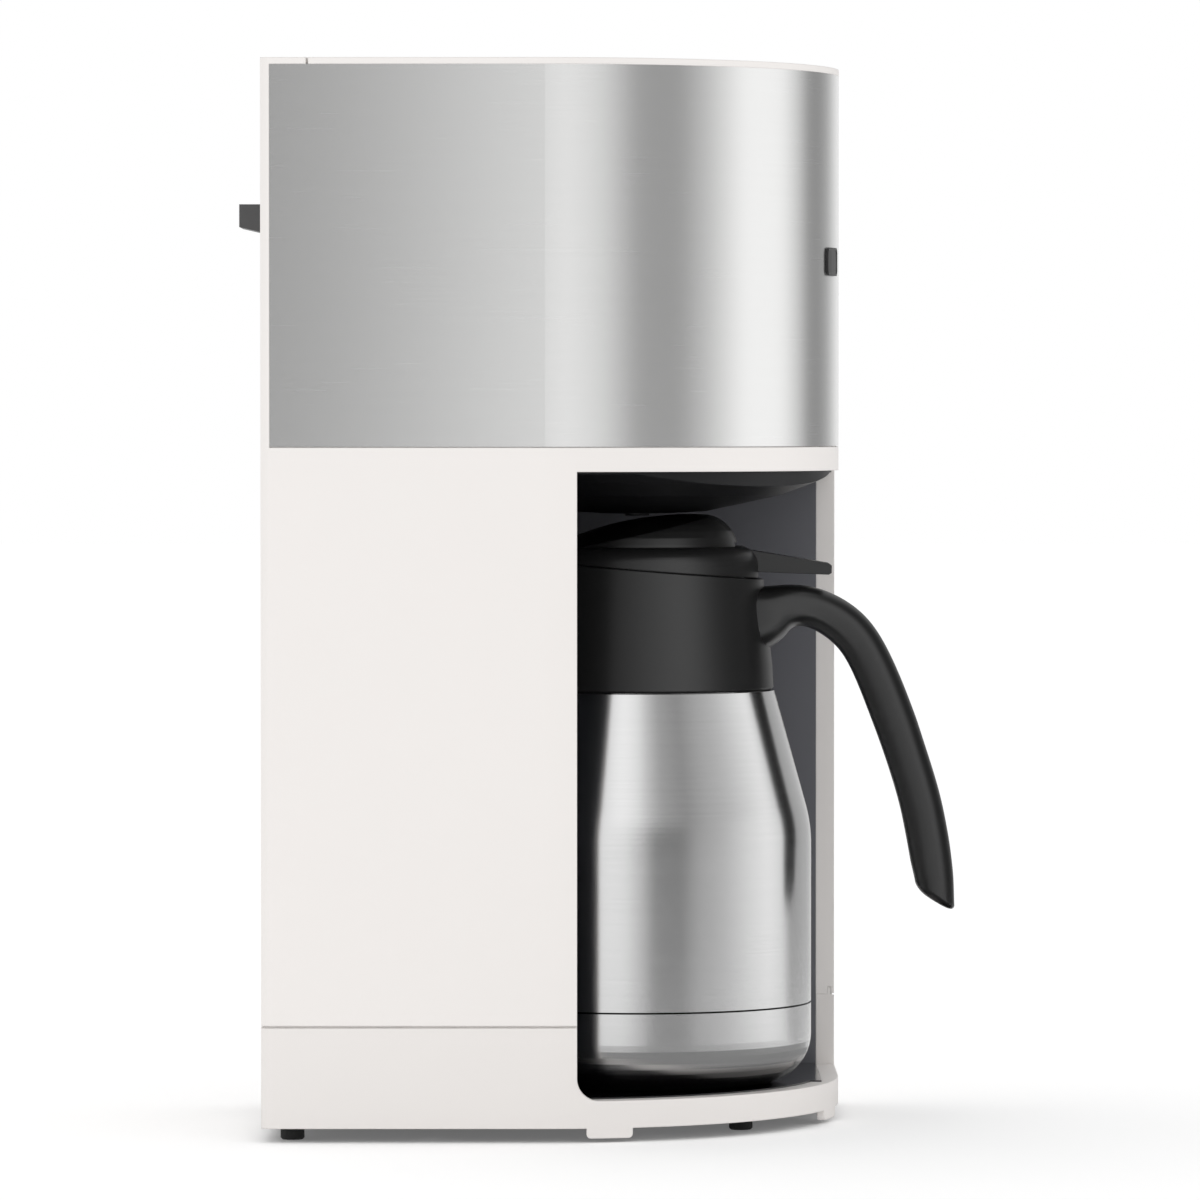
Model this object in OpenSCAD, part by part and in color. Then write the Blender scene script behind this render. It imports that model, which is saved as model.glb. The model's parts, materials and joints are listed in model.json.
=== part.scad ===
// Drip coffee maker with a vacuum pot. Millimetres.
// +X is the machine's front, -Y its open side, +Z up, z = 0 the worktop.

/* [Housing] */
// Depth of the housing, back to front
body_depth = 199.9; // [196:0.1:204]
// Width of the housing
body_width = 153; // [151:0.5:157]
// Height of the closed machine
body_height = 369.6; // [366:0.1:376]
// Radius of the large front corner on the open side
corner_r = 103; // [102:0.5:104]
// Radius of the housing's other upright edges
edge_r = 3; // [2.6:0.1:3.6]
// Wall of the white mouldings
wall = 2.4; // [2.2:0.1:2.6]
// Place of the housing's back
back_x = -115.6; // [-117:0.1:-114]
// Height of the steel wrap
steel_h = 130.3; // [128:0.1:132]
// Thickness of the steel wrap
steel_t = 0.8; // [0.6:0.1:1]
// Width of the bare white strip at the steel's back edge
steel_edge = 3.2; // [3:0.1:5]
// Height of the white band between the steel and the bay
band_h = 8.3; // [7:0.1:9]

/* [Base] */
// Height of the feet under the base
foot_h = 4.9; // [4.5:0.1:6]
// Radius of a foot
foot_r = 4.1; // [3.6:0.1:4.6]
// Height of the base moulding
base_h = 34.7; // [34:0.1:37]
// Height of the rim that borders the bay's floor, above the base's lower edge
rim_h = 9.4; // [9:0.1:10]
// Width of that rim
rim_w = 6.7; // [6:0.1:7.4]
// Thickness of the bay's floor plate
floor_t = 2.9; // [2.6:0.1:3.2]
// Width of the two tabs under the base
tab_w = 15.8; // [14:0.1:17]
// Drop of the two tabs below the base
tab_h = 3.4; // [3:0.1:3.6]

/* [Bay] */
// Depth of the bay, from its back wall to the housing's front
bay_depth = 136.3; // [134:0.1:138]
// Place of the open side's edge, measured from the bay's back wall
side_edge = 44.2; // [42:0.1:46]
// Thickness of the far wall with its liner
far_wall_t = 4.1; // [3.9:0.1:4.4]
// Depth of the white margin at the far wall's front
margin_d = 6.6; // [6:0.1:8]
// Depth of the hood's bowl over the pot, below the band's underside
bowl_h = 14.4; // [14:0.1:15]
// Radius of the opening's lower corner
bay_corner_r = 7.5; // [6:0.1:9]

/* [Pot] */
// Outer radius of the pot's body
pot_r = 61; // [60.5:0.1:61.4]
// Outer radius of the pot where the collar begins
pot_neck_r = 48.1; // [47.6:0.1:48.6]
// Height of the groove above the pot's base
pot_groove_h = 28.1; // [25:0.1:31]
// Wall of the pot's steel shells
pot_wall = 0.8; // [0.7:0.1:1]
// Gap behind the pot, to the bay's back wall
pot_gap = 4; // [3.6:0.1:4.4]
// Height of the collar and lid above the pot's steel body
pot_top_h = 61.6; // [61:0.1:61.8]

/* [Pot lid] */
// Tilt of the seam between collar and lid
seam_tilt = 4.6; // [4:0.1:5]
// Width of the pour lever
lever_w = 18; // [16:0.5:20]
// Radius of the pour lever's pin
lever_pin_r = 1.25; // [1.1:0.05:1.4]
// Radius of the lid's brew inlet
inlet_r = 4.2; // [4:0.1:4.4]

/* [Handle] */
// Half width of the grip
grip_w = 10.5; // [9.5:0.1:11.5]
// Half width of the handle's root
root_w = 18.5; // [17:0.1:19.5]

/* [Lid] */
// Thickness of the lid's plate
lid_t = 2.3; // [2.1:0.1:2.6]
// Radius of the lid's hinge barrel
barrel_r = 3; // [2.8:0.1:3.2]
// Radius of the hinge pins
hinge_pin_r = 1.2; // [1:0.05:1.4]
// Half length of the hinge barrel
barrel_half = 64; // [60:0.5:65]

/* [Brewing parts] */
// Distance of the brew deck's top below the housing's top
deck_drop = 27.6; // [27:0.1:29]
// Thickness of the brew deck
deck_t = 2.4; // [2:0.1:2.8]
// Radius of the filter basket below its flange
basket_r = 51; // [50:0.1:51.4]
// Wall of the filter basket
basket_wall = 2; // [1.8:0.1:2.4]
// Stroke of the drip-stop valve
valve_stroke = 2.5; // [2:0.1:2.6]
// Wall of the water tank
tank_wall = 2; // [1.8:0.1:2.4]
// Outer radius of the water pipes
pipe_r = 4; // [3.8:0.1:4.2]
// Radius of the start button
button_r = 8; // [7:0.1:9]
// Travel of the start button
button_travel = 2; // [1.5:0.1:2.2]

/* [Hidden] */
$fn = 96;
eps = 0.01;
fit = 0.1;         // clearance of a part that drops into its seat
gap = 0.3;         // clearance between curved faces of two bodies
half_w = body_width/2;
front_x = back_x + body_depth;
curve_x = front_x - corner_r;
curve_y = corner_r - half_w;
rim_z = body_height - lid_t;
steel_z = rim_z - steel_h;
band_z = steel_z - band_h;
seam_z = foot_h + base_h;
rim_top_z = foot_h + rim_h;
floor_z = rim_top_z + 0.5;
tray_z = floor_z - floor_t;
column_depth = body_depth - bay_depth;
bay_x = back_x + column_depth;
liner_x = bay_x - 2.5;
open_x = bay_x + side_edge;
far_y = half_w - far_wall_t;
margin_x = front_x - margin_d;
groove = 0.7;
plate_t = 2.2;
plate_z = foot_h + gap;

pot_x = bay_x + pot_gap + pot_r;
pot_z = floor_z + 0.1;
hood_z = band_z - 0.8;
pot_top_z = hood_z - bowl_h;
collar_z = pot_top_z - pot_top_h + 0.3;
pot_groove_z = pot_z + pot_groove_h;
neck_in_r = 43.6;
liner_gap = 4;
liner_r = pot_r - liner_gap;
liner_seam_z = pot_groove_z + 12;
mouth_z = collar_z + 22.8;
mouth_r = 40.2;
plug_r = 38.4;
seam_lid_z = collar_z + 42.3;
crown_x = pot_x + 18.5;
crown_r = 110;
lever_x = pot_x + 31.5;
lever_z = seam_lid_z + 2.5;
sleeve_r = inlet_r + 1.8;
bridge_z = mouth_z + 7;
handle_z = collar_z + 28.7;

hinge_x = back_x + 6.4;
post_x = hinge_x + barrel_r;
hinge_z = body_height - barrel_r;
cheek_x = hinge_x + 9.3;
rail_t = 2.6;
deck_z = rim_z - deck_drop + 2.3;
deck_z0 = deck_z - deck_t;
hood_t = 2.4;
hood_r = 69;
nozzle_z = pot_top_z + gap;
tip_z = nozzle_z - 0.9;
nozzle_r = 14;
cup_z = nozzle_z + 6;
tank_x0 = back_x + 8.2;
tank_x1 = liner_x - 3.7;
tank_y = half_w - 16.7;
valve_y = 11.8 - tank_y;
tank_z = seam_z + 35.4;
spout_x = liner_x + 2.5;
spout_z = rim_z - 15.3;
heater_x = back_x + column_depth/2 - 0.2;
heater_z = seam_z - 3.6;
heater_r = 8;
coil_r = 0.22*column_depth;
leg_y = 25;
riser_x = heater_x + coil_r;
riser_y = 9.5 - half_w;
button_x = bay_x - 28;
button_z = seam_z + 16.4;
lens_x = button_x + button_r + 9;
gland_y = half_w - 36.5;
gland_z = foot_h + 18;
stop_z = rim_z - 45.9;
feet_at = [[back_x + 10.2, 16 - half_w], [back_x + 10.2, half_w - 16],
    [front_x - 35.4, 51.5 - half_w], [front_x - 22, half_w - 18.5]];
screws_at = [[bay_x - 6, 16.5 - half_w], [bay_x - 6, half_w - 12.5],
    [pot_x + 7, 26.5 - half_w], [front_x - 16, half_w - 56.5]];

// Handle: stations along its middle, each [x, z, half thickness, half width, slant], from the pot's
// axis and the collar's foot
handle_at = [
    [34, 23.7, 13.4, root_w, 0], [43.5, 25.4, 11.7, root_w, 0], [48.5, 27.6, 9.1, root_w - 1, 0],
    [53.5, 29.3, 7.3, root_w - 2.7, 0], [62, 28.9, 7, root_w - 5, 0],
    [73, 22.6, 7.4, root_w - 6.5, 0], [80.2, 13.5, 7.2, grip_w + 0.7, 0],
    [87.7, -3.3, 7.2, grip_w, 0], [94.2, -21.3, 6.9, grip_w, 0], [99.1, -37.3, 6.9, grip_w, 0],
    [102, -51.1, 7, grip_w, 0.1], [103.9, -62.4, 6.7, grip_w - 0.2, 0.4],
    [105, -69.6, 5.9, grip_w - 0.8, 0.8], [105.6, -73.3, 4.4, grip_w - 2.4, 0.95],
    [105.8, -74.7, 2.2, grip_w - 5.5, 1], [105.9, -75, 0.5, grip_w - 8.5, 1]];

// ---------- shared shapes ----------

// Block between two corners
module block(a, b) {
    translate(a) cube(b - a);
}

// Hollow cylinder between two heights
module tube(r_out, r_in, z0, z1) {
    difference() {
        translate([0, 0, z0]) cylinder(r = r_out, h = z1 - z0);
        translate([0, 0, z0 - 1]) cylinder(r = r_in, h = z1 - z0 + 2);
    }
}

// Solid cylinder between two heights
module disc(r, z0, z1) {
    translate([0, 0, z0]) cylinder(r = r, h = z1 - z0);
}

// Rectangle with four round corners
module rounded(a, b, r) {
    translate([a.x + r, a.y]) square([b.x - a.x - 2*r, b.y - a.y]);
    translate([a.x, a.y + r]) square([b.x - a.x, b.y - a.y - 2*r]);
    for (x = [a.x + r, b.x - r], y = [a.y + r, b.y - r])
        translate([x, y]) circle(r = r);
}

// Outline of the housing, drawn in by i: three tight corners and one large one
module plan(i = 0) {
    intersection() {
        rounded([back_x + i, -half_w + i], [front_x - i, half_w - i], max(edge_r - i, 0.6));
        union() {
            translate([back_x, -half_w]) square([curve_x - back_x, body_width]);
            translate([curve_x - 1, curve_y]) square([corner_r + 1, half_w - curve_y]);
            translate([curve_x, curve_y]) circle(r = corner_r - i, $fn = 180);
        }
    }
}

// The housing's outline as a solid between two heights
module slab(i, z0, z1) {
    translate([0, 0, z0]) linear_extrude(height = z1 - z0) plan(i);
}

// A wall that follows the outline, from inset i0 to inset i1
module ring(i0, i1, z0, z1) {
    translate([0, 0, z0]) linear_extrude(height = z1 - z0) difference() {
        plan(i0);
        plan(i1);
    }
}

// Everything in front of x, for trimming
module front_of(x, z0, z1, y0 = -half_w - 1) {
    block([x, y0, z0], [front_x + 1, half_w + 1, z1]);
}

// The pot's bay, open at the front and on the near side
module bay_cut(z0, z1) {
    block([open_x, -half_w - 1, z0], [front_x + 1, far_y, z1]);
}

// Pipe along a list of points
module pipe(points, r) {
    for (i = [0:len(points) - 2]) {
        d = points[i + 1] - points[i];
        translate(points[i]) rotate([0, acos(d.z/norm(d)), atan2(d.y, d.x)])
            cylinder(r = r, h = norm(d), $fn = 32);
    }
    if (len(points) > 2)
        for (i = [1:len(points) - 2])
            translate(points[i]) sphere(r = r + 0.3, $fn = 32);
}

// Hollow pipe along a list of points, open at both ends
module hose(points, r_out, r_in) {
    n = len(points) - 1;
    first = points[0] - points[1];
    last = points[n] - points[n - 1];
    bore = [for (i = [0:n]) i == 0 ? points[0] + first/norm(first) :
        i == n ? points[n] + last/norm(last) : points[i]];
    difference() {
        pipe(points, r_out);
        pipe(bore, r_in);
    }
}

// Coil spring about Z
module spring(r, wire, z0, z1, turns) {
    steps = 12;
    sides = 6;
    n = turns*steps;
    pts = [for (i = [0:n], j = [0:sides - 1])
        let (a = 360*i/steps, b = 360*j/sides, m = r + wire*cos(b))
        [m*cos(a), m*sin(a), z0 + wire + (z1 - z0 - 2*wire)*i/n + wire*sin(b)]];
    side_faces = [for (i = [0:n - 1], j = [0:sides - 1])
        let (k = (j + 1) % sides)
        [i*sides + j, i*sides + k, (i + 1)*sides + k, (i + 1)*sides + j]];
    ends = [[for (j = [0:sides - 1]) sides - 1 - j], [for (j = [0:sides - 1]) n*sides + j]];
    polyhedron(points = pts, faces = concat([for (f = side_faces) [f[3], f[2], f[1], f[0]]],
        [for (f = ends) [for (q = [len(f) - 1:-1:0]) f[q]]]), convexity = 8);
}

// Arc of points in a profile: centre, radius, from angle a0 to a1
function arc(c, r, a0, a1, n = 8) = [for (i = [0:n]) let (a = a0 + (a1 - a0)*i/n) c + r*[cos(a), sin(a)]];

// Turned part about the pot's axis
module turned(profile) {
    translate([pot_x, 0, 0]) rotate_extrude() polygon(profile);
}

module at_pot() {
    translate([pot_x, 0, 0]) children();
}

// ---------- base ----------

// Plan of the floor plate that the pot stands on, grown by g
module floor_plan(g = 0) {
    intersection() {
        union() {
            plan(rim_w - g);
            translate([bay_x, 0]) square([margin_x - bay_x + g, far_y + g]);
        }
        translate([bay_x - g, -half_w]) square([body_depth, half_w + far_y + g]);
    }
}

module base_shell() {
    color("#e8e4e1") difference() {
        union() {
            ring(0, wall, foot_h, seam_z);
            ring(wall - 1.2, wall - eps, seam_z - 4, seam_z + 2.5);
            intersection() {
                slab(0, tray_z - plate_t, tray_z);
                front_of(liner_x, foot_h, tray_z + 1);
            }
            intersection() {
                slab(0, tray_z - plate_t, rim_top_z);
                front_of(liner_x, foot_h, seam_z);
            }
            // margin of the far wall
            intersection() {
                slab(0, tray_z, seam_z);
                block([margin_x, far_y, tray_z], [front_x, half_w, seam_z]);
            }
            base_corner();
            base_tabs();
            for (p = screws_at)
                translate([p.x, p.y, 0]) disc(4.5, plate_z + plate_t, tray_z - 1);
            for (p = [screws_at[0], screws_at[1]])
                block([p.x - 3, p.y > 0 ? p.y : -half_w + 1, plate_z + plate_t],
                    [p.x + 3, p.y > 0 ? half_w - 1 : p.y, tray_z]);
        }
        // bay above the rim, leaving the corner fillet
        difference() {
            bay_cut(rim_top_z, seam_z + 5);
            base_corner();
        }
        // seat of the floor plate
        translate([0, 0, tray_z]) linear_extrude(height = base_h) floor_plan(fit);
        // seat of the liner behind the near panel and along the far wall
        translate([0, 0, tray_z]) linear_extrude(height = base_h) liner_plan();
        base_groove(seam_z - groove/2);
        for (p = screws_at)
            translate([p.x, p.y, 0]) disc(1.5, foot_h, tray_z - 0.4);
        gland_hole();
    }
}

// Rounded inner corner where the near panel meets the rim
module base_corner() {
    intersection() {
        ring(0, wall, rim_top_z - 1, rim_top_z + bay_corner_r);
        difference() {
            block([open_x - 1, -half_w, rim_top_z - 1],
                [open_x + bay_corner_r, 0, rim_top_z + bay_corner_r]);
            translate([open_x + bay_corner_r, -half_w - 1, rim_top_z + bay_corner_r])
                rotate([-90, 0, 0]) cylinder(r = bay_corner_r, h = half_w);
        }
    }
}

// Two shallow tabs that hang from the base's edge and follow its outline
module base_tabs() {
    r = 1.5;
    intersection() {
        ring(0, wall, foot_h - tab_h, foot_h + 2);
        union() {
            translate([open_x + 3.2, curve_y, foot_h - tab_h]) rotate([90, 0, 0])
                linear_extrude(height = corner_r + 1) rounded([0, 0], [tab_w, tab_h + 4], r);
            translate([pot_x, -tab_w/2, foot_h - tab_h]) rotate([90, 0, 90])
                linear_extrude(height = body_depth) rounded([0, 0], [tab_w, tab_h + 4], r);
        }
    }
}

// Half of the shadow groove between base and body
module base_groove(z) {
    ring(-1, groove, z, z + groove/2 + eps);
}

module gland_hole() {
    translate([back_x - 1, gland_y, gland_z]) rotate([0, 90, 0]) cylinder(r = 5, h = wall + 2, $fn = 48);
}

module base_plate() {
    color("#d9d6d2") difference() {
        union() {
            slab(wall + gap, plate_z, plate_z + plate_t);
            // cradles of the heater
            for (x = [heater_x - coil_r, heater_x + coil_r], y = [-leg_y + 8, leg_y - 8])
                translate([x, y, 0]) disc(4, plate_z, heater_z - heater_r);
        }
        for (p = feet_at)
            translate([p.x, p.y, 0]) disc(2.4, foot_h, plate_z + plate_t + 1);
        for (p = screws_at)
            translate([p.x, p.y, 0]) {
                disc(1.7, foot_h, plate_z + plate_t + 1);
                disc(3.4, foot_h, plate_z + 1.3);
            }
        // vents under the heater
        for (i = [-3:3])
            block([heater_x - 6, 9*i - 2, foot_h], [heater_x + 6, 9*i + 2, plate_z + plate_t + 1]);
    }
}

module feet() {
    color("#303030") for (p = feet_at)
        translate([p.x, p.y, 0]) {
            rotate_extrude($fn = 48) polygon([[0, 0], [foot_r - 0.6, 0], [foot_r, 0.6],
                [foot_r, plate_z], [0, plate_z]]);
            disc(2.3, plate_z - 1, plate_z + plate_t + 0.6);
            rotate_extrude($fn = 48) polygon([[0, plate_z + plate_t], [3, plate_z + plate_t],
                [1.6, plate_z + plate_t + 1.5], [0, plate_z + plate_t + 1.5]]);
        }
}

module base_screws() {
    color("silver") for (p = screws_at)
        translate([p.x, p.y, 0]) difference() {
            union() {
                disc(3.1, plate_z - 0.2, plate_z + 1.3);
                disc(1.5, plate_z + 1, tray_z - 0.6);
            }
            for (a = [0, 90])
                rotate([0, 0, a]) block([-2, -0.4, plate_z - 1], [2, 0.4, plate_z + 0.5]);
        }
}

module bay_floor() {
    color("#1c1c1f") translate([0, 0, tray_z]) linear_extrude(height = floor_t) floor_plan();
}

// ---------- body ----------

// Outline of the bay's liner: back wall, far side and the strip behind the near panel
module liner_plan() {
    difference() {
        intersection() {
            plan(wall);
            translate([liner_x, -half_w]) square([margin_x - liner_x, body_width]);
        }
        rounded([bay_x, -far_y], [front_x + 40, far_y], 8);
        translate([open_x - 2, -half_w]) square([body_depth, half_w]);
    }
}

module body_shell() {
    color("#efebe8") difference() {
        union() {
            ring(0, wall, seam_z, rim_z);
            // rail behind the lid
            intersection() {
                slab(0, rim_z - 12, body_height);
                union() {
                    block([back_x, -half_w, rim_z - 12], [back_x + rail_t, half_w, body_height]);
                    for (s = [-1, 1])
                        hinge_post(s);
                }
            }
            // ledge that carries the brew deck
            ring(wall - 1, wall + 3, deck_z0 - 2.4, deck_z0);
            // ledge that clamps the hood's rim from above
            ring(wall - 1, wall + 3, hood_z + hood_t, hood_z + 2*hood_t);
            // margin of the far wall
            intersection() {
                slab(0, seam_z, hood_z - 0.2);
                block([margin_x, far_y, seam_z], [front_x, half_w, hood_z - 0.2]);
            }
        }
        // recess of the steel wrap
        difference() {
            ring(-1, steel_t, steel_z, rim_z);
            block([back_x - 1, -half_w - 1, 0], [back_x + steel_edge, half_w + 1, body_height]);
        }
        bay_cut(seam_z - 1, band_z);
        ring(wall - 1.2 - fit, wall + eps, seam_z - 1, seam_z + 2.5 + fit);
        base_groove(seam_z);
        // pin holes of the lid's hinge
        for (s = [-1, 1])
            translate([hinge_x, s*(barrel_half - 1), hinge_z]) rotate([-90*s, 0, 0])
                cylinder(r = hinge_pin_r + 0.05, h = 6, $fn = 48);
        // slot of the rear spacer
        block([back_x - 1, -9, stop_z - 6.2], [back_x + wall + 1, 9, stop_z - 2.8]);
        translate([button_x, half_w - wall - 1, button_z]) rotate([-90, 0, 0])
            cylinder(r = button_r + gap, h = wall + 2);
        translate([lens_x, half_w - wall - 1, button_z]) rotate([-90, 0, 0])
            cylinder(r = 2, h = wall + 2, $fn = 32);
    }
}

// Corner post beside the lid's barrel, s = -1 near side, 1 far side
module hinge_post(s) {
    y0 = barrel_half + gap;
    block([back_x, s > 0 ? y0 : -half_w, rim_z - 12], [post_x, s > 0 ? half_w : -y0, hinge_z]);
    translate([hinge_x, s > 0 ? y0 : -half_w, hinge_z]) rotate([-90, 0, 0])
        cylinder(r = barrel_r, h = half_w - y0);
    // cheek in the side wall, level with the closed lid
    block([back_x, s > 0 ? half_w - wall : -half_w, rim_z - 12],
        [cheek_x, s > 0 ? half_w : wall - half_w, body_height]);
}

module bay_liner() {
    color("#4a4b50") translate([0, 0, tray_z]) linear_extrude(height = hood_z - tray_z) difference() {
        liner_plan();
        floor_plan(eps);
    }
}

module steel_wrap() {
    color("#c9c9c8") difference() {
        ring(0, steel_t, steel_z + gap, rim_z);
        block([back_x - 1, -half_w - 1, 0], [back_x + steel_edge, half_w + 1, body_height]);
    }
}

module rear_spacer() {
    color("#4a4a4a") {
        translate([0, 15, 0]) rotate([90, 0, 0]) linear_extrude(height = 30)
            polygon([[back_x, stop_z], [back_x - 9.9, stop_z], [back_x - 9.9, stop_z - 7.9],
                [back_x, stop_z - 10.2]]);
        block([back_x - 1, -8.9, stop_z - 6.1], [back_x + wall, 8.9, stop_z - 2.9]);
    }
}

module cord_gland() {
    color("#2b2b2b") translate([back_x, gland_y, gland_z]) rotate([0, 90, 0]) difference() {
        union() {
            disc(4.95, -1, wall);
            disc(7, -3, 0);
            disc(7, wall, wall + 2);
        }
        disc(3.2, -4, wall + 3);
    }
}

module terminal_block() {
    color("#e6e0cc") difference() {
        block([back_x + 14, gland_y + 1, plate_z + plate_t],
            [back_x + 28, gland_y + 27, plate_z + plate_t + 12]);
        for (y = [5, 10, 18, 23])
            translate([back_x + 21, gland_y + y, 0]) disc(1.6, plate_z + plate_t + 5, plate_z + plate_t + 13);
    }
}

// ---------- water path ----------

module flow_heater() {
    color("#b8bbbd") difference() {
        union() {
            for (s = [-1, 1])
                translate([heater_x + s*coil_r, leg_y, heater_z]) rotate([90, 0, 0])
                    cylinder(r = heater_r, h = 2*leg_y);
            translate([heater_x, leg_y, heater_z]) rotate_extrude(angle = 180)
                translate([coil_r, 0]) circle(r = heater_r);
            for (s = [-1, 1])
                translate([heater_x + s*coil_r, -leg_y, heater_z]) rotate([90, 0, 0])
                    cylinder(r = pipe_r, h = 8);
            // flat seats for the thermostat and fuses
            block([heater_x - coil_r - 6, -12, heater_z], [heater_x - coil_r + 6, 12, heater_z + heater_r]);
            block([heater_x + coil_r - 5, -18, heater_z], [heater_x + coil_r + 5, 18, heater_z + heater_r]);
        }
        for (s = [-1, 1])
            translate([heater_x + s*coil_r, -leg_y + 20, heater_z]) rotate([90, 0, 0])
                cylinder(r = pipe_r - 1.2, h = 30);
    }
}

module thermostat() {
    color("#d8d4cf") translate([heater_x - coil_r, 0, heater_z + heater_r]) {
        disc(7.5, 0, 6);
        disc(5.6, 6, 8);
        for (y = [-3, 3])
            block([-0.4, y - 1.6, 8], [0.4, y + 1.6, 14]);
    }
}

module thermal_fuses() {
    color("#cfcfcf") for (y = [-10, 10])
        translate([heater_x + coil_r, y - 6, heater_z + heater_r + 2]) rotate([-90, 0, 0])
            cylinder(r = 2, h = 12, $fn = 32);
}

module check_valve() {
    color("#e9e6df") translate([heater_x - coil_r, valve_y, 0]) difference() {
        union() {
            disc(pipe_r - 1.2 - 0.05, tank_z - 26, tank_z - 4);
            disc(6.5, tank_z - 20, tank_z - 12);
        }
        disc(1.6, tank_z - 30, tank_z);
    }
}

module cold_hose() {
    x = heater_x - coil_r;
    color("#f0efe9") {
        hose([[x, valve_y, tank_z - 20.1], [x, valve_y, heater_z], [x, -leg_y - 8, heater_z]],
            pipe_r, pipe_r - 1.2);
        translate([x, valve_y, 0]) tube(pipe_r + 1.4, pipe_r, tank_z - 12 + eps, tank_z - 1);
    }
}

module hot_hose() {
    color("#f0efe9")
        hose([[riser_x, -leg_y - 8, heater_z], [riser_x, riser_y, heater_z],
            [riser_x, riser_y, heater_z + 26]], pipe_r, pipe_r - 1.2);
}

module outlet_tube() {
    color("#d8d8d6")
        hose([[riser_x, riser_y, heater_z + 26], [riser_x, riser_y, spout_z],
            [spout_x, 0, spout_z], [spout_x, 0, spout_z + 5.5]], pipe_r, pipe_r - 1.2);
}

module water_tank() {
    flange = 2.1;
    color("#3a3a3c") difference() {
        union() {
            translate([0, 0, tank_z]) linear_extrude(height = deck_z - tank_z + 1.6)
                rounded([tank_x0, -tank_y], [tank_x1, tank_y], 8);
            translate([0, 0, deck_z]) linear_extrude(height = 1.6)
                rounded([tank_x0 - flange, -tank_y - flange], [tank_x1 + 1.7, tank_y + flange], 9);
            translate([heater_x - coil_r, valve_y, 0]) disc(pipe_r - 0.05, tank_z - 10, tank_z + 1);
        }
        translate([0, 0, tank_z + tank_wall]) linear_extrude(height = deck_z)
            rounded([tank_x0 + tank_wall, -tank_y + tank_wall],
                [tank_x1 - tank_wall, tank_y - tank_wall], 6);
        translate([heater_x - coil_r, valve_y, 0]) disc(pipe_r - 1.2, tank_z - 11, tank_z + 5);
    }
}

module brew_deck() {
    color("#2e2e30") difference() {
        slab(wall + fit, deck_z0, deck_z);
        translate([0, 0, deck_z0 - 1]) linear_extrude(height = deck_t + 2)
            rounded([tank_x0 - 0.2, -tank_y - 0.2], [tank_x1 + 0.2, tank_y + 0.2], 8);
        at_pot() disc(basket_r + 0.5, deck_z0 - 1, deck_z + 1);
        translate([riser_x, riser_y, 0]) disc(pipe_r + 0.2, deck_z0 - 1, deck_z + 1);
    }
}

// Lower face of the hood: a shallow bowl that rises from its outlet to the band
function hood_profile(up) = [[nozzle_r + 1, nozzle_z + 0.2 + up], [24, nozzle_z + 0.7 + up],
    [37.4, nozzle_z + 3.5 + up], [50.4, nozzle_z + 6.4 + up], [62.3, nozzle_z + 10.9 + up],
    [hood_r, hood_z + up]];

module drip_hood() {
    outer = hood_profile(0);
    inner = hood_profile(hood_t);
    color("#1f1f21") intersection() {
        slab(wall + fit, 0, hood_z + hood_t);
        difference() {
            union() {
                front_of(liner_x, hood_z, hood_z + hood_t);
                turned(concat(outer, [[hood_r, hood_z + hood_t], [nozzle_r + 1, hood_z + hood_t]]));
            }
            // hollow of the bowl, leaving a wall where the housing cuts it
            intersection() {
                slab(wall + fit + hood_t, 0, body_height);
                turned(concat(inner, [[hood_r, hood_z + hood_t + 1], [0, hood_z + hood_t + 1],
                    [0, nozzle_z - 1], [nozzle_r + 1, nozzle_z - 1]]));
            }
            at_pot() disc(nozzle_r + 1, 0, hood_z);
            // stays in front of the bay's back wall
            block([back_x, -half_w, 0], [bay_x + fit, half_w, hood_z]);
            block([back_x, -half_w, 0], [liner_x, half_w, body_height]);
        }
    }
}

// ---------- filter basket and drip stop ----------

module filter_basket() {
    w = basket_wall;
    top = deck_z;
    color("#262628") difference() {
        union() {
            turned([[0, cup_z], [nozzle_r - 3, cup_z], [nozzle_r - 3, nozzle_z], [nozzle_r, nozzle_z],
                [nozzle_r, cup_z], [26, cup_z + 4], [basket_r - 6, top - 40], [basket_r, top - 6],
                [basket_r, top], [basket_r + 4, top], [basket_r + 4, top + w], [basket_r - w, top + w],
                [basket_r - w, top - 6], [basket_r - 6 - w, top - 40], [26 - w, cup_z + 4 + w],
                [nozzle_r, cup_z + w], [0, cup_z + w]]);
            // ribs that hold the paper off the wall
            at_pot() for (a = [0:30:330])
                rotate([0, 0, a]) translate([0, 0.6, 0]) rotate([90, 0, 0])
                    linear_extrude(height = 1.2)
                        polygon([[24, cup_z + 4 + w], [basket_r - 7, top - 40], [basket_r - 9, top - 38],
                            [23, cup_z + 10]]);
        }
        at_pot() disc(4.6, nozzle_z - 1, cup_z + 10);
    }
}

module valve_cage() {
    color("#3c3c3e") at_pot() difference() {
        union() {
            tube(12, 10.2, cup_z + basket_wall, cup_z + basket_wall + 12);
            tube(12, 2, cup_z + basket_wall + 11, cup_z + basket_wall + 12.5);
        }
        for (a = [0, 90])
            rotate([0, 0, a])
                block([-20, -4, cup_z + basket_wall + 1], [20, 4, cup_z + basket_wall + 10]);
    }
}

module drip_valve() {
    head_z = cup_z + basket_wall + valve_stroke + 0.2;
    color("#3a3a3d") at_pot() {
        disc(4.3, tip_z, head_z + 1);
        disc(8, head_z, head_z + 2);
        disc(3, head_z + 1, head_z + 3.6);
    }
}

module drip_spring() {
    color("silver") at_pot()
        spring(5.5, 0.4, cup_z + basket_wall + valve_stroke + 2.3, cup_z + basket_wall + 10.9, 3);
}

// ---------- lid ----------

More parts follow.
